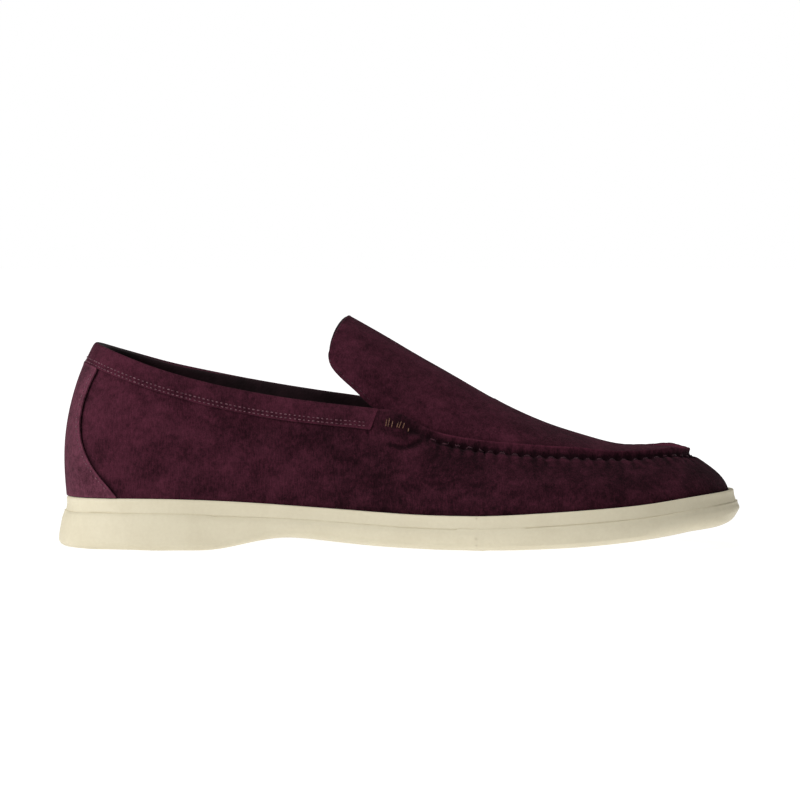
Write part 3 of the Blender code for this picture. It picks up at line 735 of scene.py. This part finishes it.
def wall_shade(co):
    """How much darker the wall is: forward of the heel, with a painted shadow beside the heel patch's edge
    and painted shade under the collar's front end."""
    x, _, z = (co / MM).T
    shade = 0.42 * ease(-75, -15, x) + 0.7 * beside(co, nodes["heel_patch"], 1.8)
    return shade + 0.45 * hump(-1.3, 6, x) * hump(55, 3.5, z)


# ---------------------------------------------------------------- the sole and the boards

def close_ledge(outsole):
    """The outsole's top edge runs softly into the midsole above it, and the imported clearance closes."""
    above = surface_of(*(nodes[n] for n in halves("midsole")))
    co = read(outsole)
    found = np.array([above.find_nearest(Vector(point))[0] for point in co])
    beyond = co - found
    away = np.linalg.norm(beyond, axis=1) / MM
    drop = np.maximum(-beyond[:, 2], 0) / MM
    beyond[:, 2] = 0
    co -= beyond * (0.85 * ease(2.8, 0.3, drop) * ease(4, 1.5, away))[:, None]
    co[:, 2] += LEDGE_LIFT * MM * (1 - ease(0.4, 1.4, away))
    write(outsole, co)


def fill_toe(outsole):
    """The lower edge of the outsole is fuller round the toe."""
    co = read(outsole)
    co[:, 2] -= FULL_TOE * MM * ease(124, 146, co[:, 0] / MM) * ease(18, 13.5, co[:, 2] / MM)
    write(outsole, co)


def hollow_band(midsole):
    """The midsole's edge is a shallow cove that comes down close over the edge of the outsole."""
    below = surface_of(*(nodes[n] for n in halves("outsole")))
    co, normal = read(midsole), read_normals(midsole)
    height = np.array([below.find_nearest(Vector(point))[3] for point in co]) / MM
    side = ease(0.75, 0.35, np.abs(normal[:, 2]))
    cove = side * COVE * np.sin(np.pi * np.clip(height / BAND_HEIGHT, 0, 1))
    co = co - normal * cove[:, None] * MM
    co[:, 2] -= BAND_DROP * MM * ease(1.6, 0.5, height)
    write(midsole, co)


def make_bottom():
    """Sole, boards and foam, each one piece from heel to toe."""
    for stem, finish, levels, crispness in (("outsole", "sole_rubber", 3, 0.62),
                                            ("midsole", "sole_rubber", 3, 0.85),
                                            ("sock_liner", "lining", 1, 0.85),
                                            ("footbed_foam", "foam", 1, 0.85),
                                            ("insole_board", "fibreboard", 1, 0.85),
                                            ("forepart_filler", "fibreboard", 1, 0.85)):
        piece = whole(stem, *halves(stem), levels=levels, crease=crispness)
        if stem == "outsole":
            close_ledge(piece)
            fill_toe(piece)
        if stem == "midsole":
            hollow_band(piece)
        finish_piece(piece, finish, None, *halves(stem))


# ---------------------------------------------------------------- the upper

def seam_line():
    """The stitch line of the apron seam, from the lateral throat round the toe to the medial throat."""
    hands = []
    for hand in HANDS:
        rear, front = (thread_points("seam_thread_" + node, lambda co: co.x) for node in halves(hand))
        hands.append(rear[:-1] + [(rear[-1] + front[0]) / 2] + front[1:])
    lateral, medial = hands
    points = np.array(lateral[:-1] + [(lateral[-1] + medial[-1]) / 2] + medial[-2::-1])
    return Line([Vector(point) for point in points + shape_toe(points)])


def make_upper():
    """Wall, apron and their linings, worked together at the seam."""
    pieces = {}
    for stem, levels in (("wall", 3), ("apron", 3), ("lining", 2), ("apron_lining", 2)):
        piece = pieces[stem] = whole(stem, *halves(stem), levels=levels)
        co = read(piece)
        co = co + shape_toe(co, fill=1.0 if stem == "apron" else 0.0)
        if stem == "wall":
            co = co + shape_throat(co)
        if stem == "apron_lining":
            co = co + show_lining_edge(co)
        write(piece, co)
    seam = Seam(seam_line(), surface_of(pieces["wall"]))
    for stem, piece in pieces.items():
        co = read(piece)
        gathered, wear_light_and_shade = seam.shift(co)
        pressed, fold_shade = press_throat(co, seam)
        write(piece, co + gathered + pressed + waves(co))
        # Painted shade down in the folds of the throat.
        wear_light_and_shade = wear_light_and_shade - 0.65 * fold_shade
        if stem == "wall":
            # The wall's painted shade: a shadow beside the heel patch and shade under the collar's front
            # end, with the wall darker forward of the heel.
            wear_light_and_shade = wear_light_and_shade - wall_shade(co)
        mark_wear_light_and_shade(piece, wear_light_and_shade)
        finish_piece(piece, "lining" if "lining" in stem else "suede", None, *halves(stem))
    return pieces["wall"], pieces["apron"], seam


def line_inside(band):
    """The band is lined: its faces that look into the shoe take the dark leather."""
    band.data.materials.append(FINISHES["lining"].material)
    for face in band.data.polygons:
        axis = Vector((min(max(face.center.x, -100 * MM), 0), 0, face.center.z))
        outward = (face.center - axis).normalized()
        if face.normal.dot(outward) < -0.35:
            face.material_index = 1


def make_band():
    """The collar band, whose front ends are cut on a slant and lie close to the wall."""
    band = whole("collar", "collar_band", levels=3)
    co = read(band)
    x, y, z = (co / MM).T
    end = ease(-22, -10, x)
    lean = end * np.interp(BAND_END_TOP - z, (0, BAND_END_WIDTH), BAND_LEAN)
    slant = np.column_stack((lean, -0.35 * end * np.sign(y), -0.3 * end)) * MM
    write(band, co + slant + waves(co))
    # Painted shade in the band's hollows, and a paler tone on its edges that is partly worn and partly a
    # painted highlight.
    mark_wear_light_and_shade(band, np.zeros(len(co)))
    finish_piece(band, "suede", "rearfoot", "collar_band")
    line_inside(band)
    return band


def make_patch(band):
    """The heel patch, tucked up under the band, with a painted highlight along its raised stitched edges."""
    patch = whole("heel_patch_skin", "heel_patch", levels=3)
    co = read(patch)
    tuck = beside(co, band, 1.6)[:, None] * np.array((0.0, 0.0, PATCH_TUCK)) * MM
    write(patch, co + tuck + waves(co))
    edge_highlight = sum(hump(0, 4 * MM, patch_edge(hand).away(co)) for hand in HANDS)
    # A painted highlight along the patch's stitched edges.
    mark_wear_light_and_shade(patch, 0.4 * edge_highlight - 0.1)
    finish_piece(patch, "patch", "rearfoot", "heel_patch")
    return patch


def patch_edge(hand):
    return Line(thread_points("heel_patch_thread_" + hand, lambda co: -co.z))


def make_pad():
    pad = whole("collar_pad", "collar_padding", levels=1)
    finish_piece(pad, "foam", "rearfoot", "collar_padding")


# ---------------------------------------------------------------- the stitches

def stitch_collar(band):
    surface = surface_of(band)
    for row in ("upper", "lower"):
        node = "collar_thread_" + row
        line = Line(thread_points(node, lambda co: -co.x + (1 if co.y > 0 else 0)))
        stitches = stitch_row("collar_stitches_" + row, line, surface, MACHINE_ROW)
        finish_piece(stitches, "thread", "rearfoot", node)


def stitch_patch(patch):
    surface = surface_of(patch)
    for hand in HANDS:
        stitches = stitch_row("heel_patch_stitches_" + hand, patch_edge(hand), surface, MACHINE_ROW)
        finish_piece(stitches, "thread", "rearfoot", "heel_patch_thread_" + hand)


def stitch_tongue(apron):
    stitches = stitch_row("tongue_stitches", tongue_edge(), surface_of(apron), TONGUE_ROW)
    finish_piece(stitches, "dark_thread", "rearfoot", "tongue_edge_thread")


def stitch_seam(surface, seam):
    """One stitch from each pit of the seam to the next."""
    mesh = ([], [])
    for before, after in zip(seam.pits, seam.pits[1:]):
        ends = [seam.line.at(before + SEAM_INSET * MM), seam.line.at(after - SEAM_INSET * MM)]
        lay_stitch(mesh, ends, surface, SEAM_THREAD)
    threads = [node for hand in HANDS for node in halves("seam_thread_" + hand)]
    finish_piece(add_stitches("seam_stitches", *mesh), "dark_thread", None, *threads)


def stitch_throat(surface):
    """The slanting hand stitches that hold each corner of the throat."""
    for hand in HANDS:
        node = "throat_tack_" + hand
        low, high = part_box(node)
        mesh = ([], [])
        for stroke in TACK:
            ends = [Vector((low.x + across * (high.x - low.x), (low.y + high.y) / 2,
                            high.z - down * (high.z - low.z))) for across, down in stroke]
            lay_stitch(mesh, ends, surface, TACK_THREAD)
        finish_piece(add_stitches("throat_stitches_" + hand, *mesh), "tan_thread", "rearfoot", node)


# ---------------------------------------------------------------- stage, lights and camera

def area_light(name, place, size, watts):
    """A soft round light that looks at the shoe."""
    light = bpy.data.lights.new(name, "AREA")
    light.shape = "DISK"
    light.size = size
    light.energy = watts
    obj = bpy.data.objects.new(name, light)
    bpy.context.scene.collection.objects.link(obj)
    obj.location = place
    obj.rotation_euler = (Vector((0, 0, 0.04)) - Vector(place)).to_track_quat("-Z", "Y").to_euler()


def make_floor():
    """A white floor that runs into the background. Round the shoe it gives off a little less light of
    its own than farther away."""
    bpy.ops.object.select_all(action="DESELECT")
    bpy.ops.mesh.primitive_plane_add(size=16)
    floor = bpy.context.active_object
    floor.name = "floor"
    pale = Finish("pale_floor", 0.9)
    pale.feed("Base Color", (0.3, 0.3, 0.3, 1))
    pale.feed("Emission Strength", 1.0)
    away = pale.node("ShaderNodeVectorMath", {"operation": "LENGTH"}, {0: pale.place}, output="Value")
    pale.feed("Emission Color", pale.mix(away.ramp(0.15, 0.8), (0.86, 0.86, 0.86), (1.0, 1.0, 1.0)))
    floor.data.materials.append(pale.material)


def make_lights():
    """A white surround that lights the shoe only weakly, a key light and a top light."""
    world = bpy.data.worlds.new("studio")
    bpy.context.scene.world = world
    world.use_nodes = True
    studio = Nodes(world.node_tree)
    background = studio.tree.nodes["Background"]
    seen = studio.node("ShaderNodeLightPath", output="Is Camera Ray")
    strength = studio.node("ShaderNodeMapRange", None, {"Value": seen, "To Min": 0.26, "To Max": 1.0})
    studio.put(background.inputs["Color"], (1, 1, 1, 1))
    studio.put(background.inputs["Strength"], strength)
    area_light("key", (-1.3, -0.8, 0.9), 0.9, 19)
    area_light("top", (0.0, 0.1, 1.6), 1.2, 5)


def make_camera():
    camera = bpy.data.objects.new("camera", bpy.data.cameras.new("camera"))
    bpy.context.scene.collection.objects.link(camera)
    camera.data.lens = LENS
    back = Vector((0, -math.cos(CAMERA_RISE), math.sin(CAMERA_RISE)))
    camera.location = CAMERA_AIM + back * CAMERA_DISTANCE
    camera.rotation_euler = (math.pi / 2 - CAMERA_RISE, 0, 0)
    bpy.context.scene.camera = camera


make_bottom()
wall, apron, seam = make_upper()
band = make_band()
patch = make_patch(band)
stitch_collar(band)
stitch_patch(patch)
stitch_tongue(apron)
on_wall = surface_of(wall)
stitch_seam(on_wall, seam)
stitch_throat(on_wall)
make_pad()
for node, finish in (("heel_filler", "foam"), ("shank", "spring_steel"), ("heel_counter", "fibreboard"),
                     ("toe_puff", "fibreboard")):
    coat(nodes[node], finish)

make_floor()
make_lights()
make_camera()
bpy.context.scene.view_settings.view_transform = "Standard"
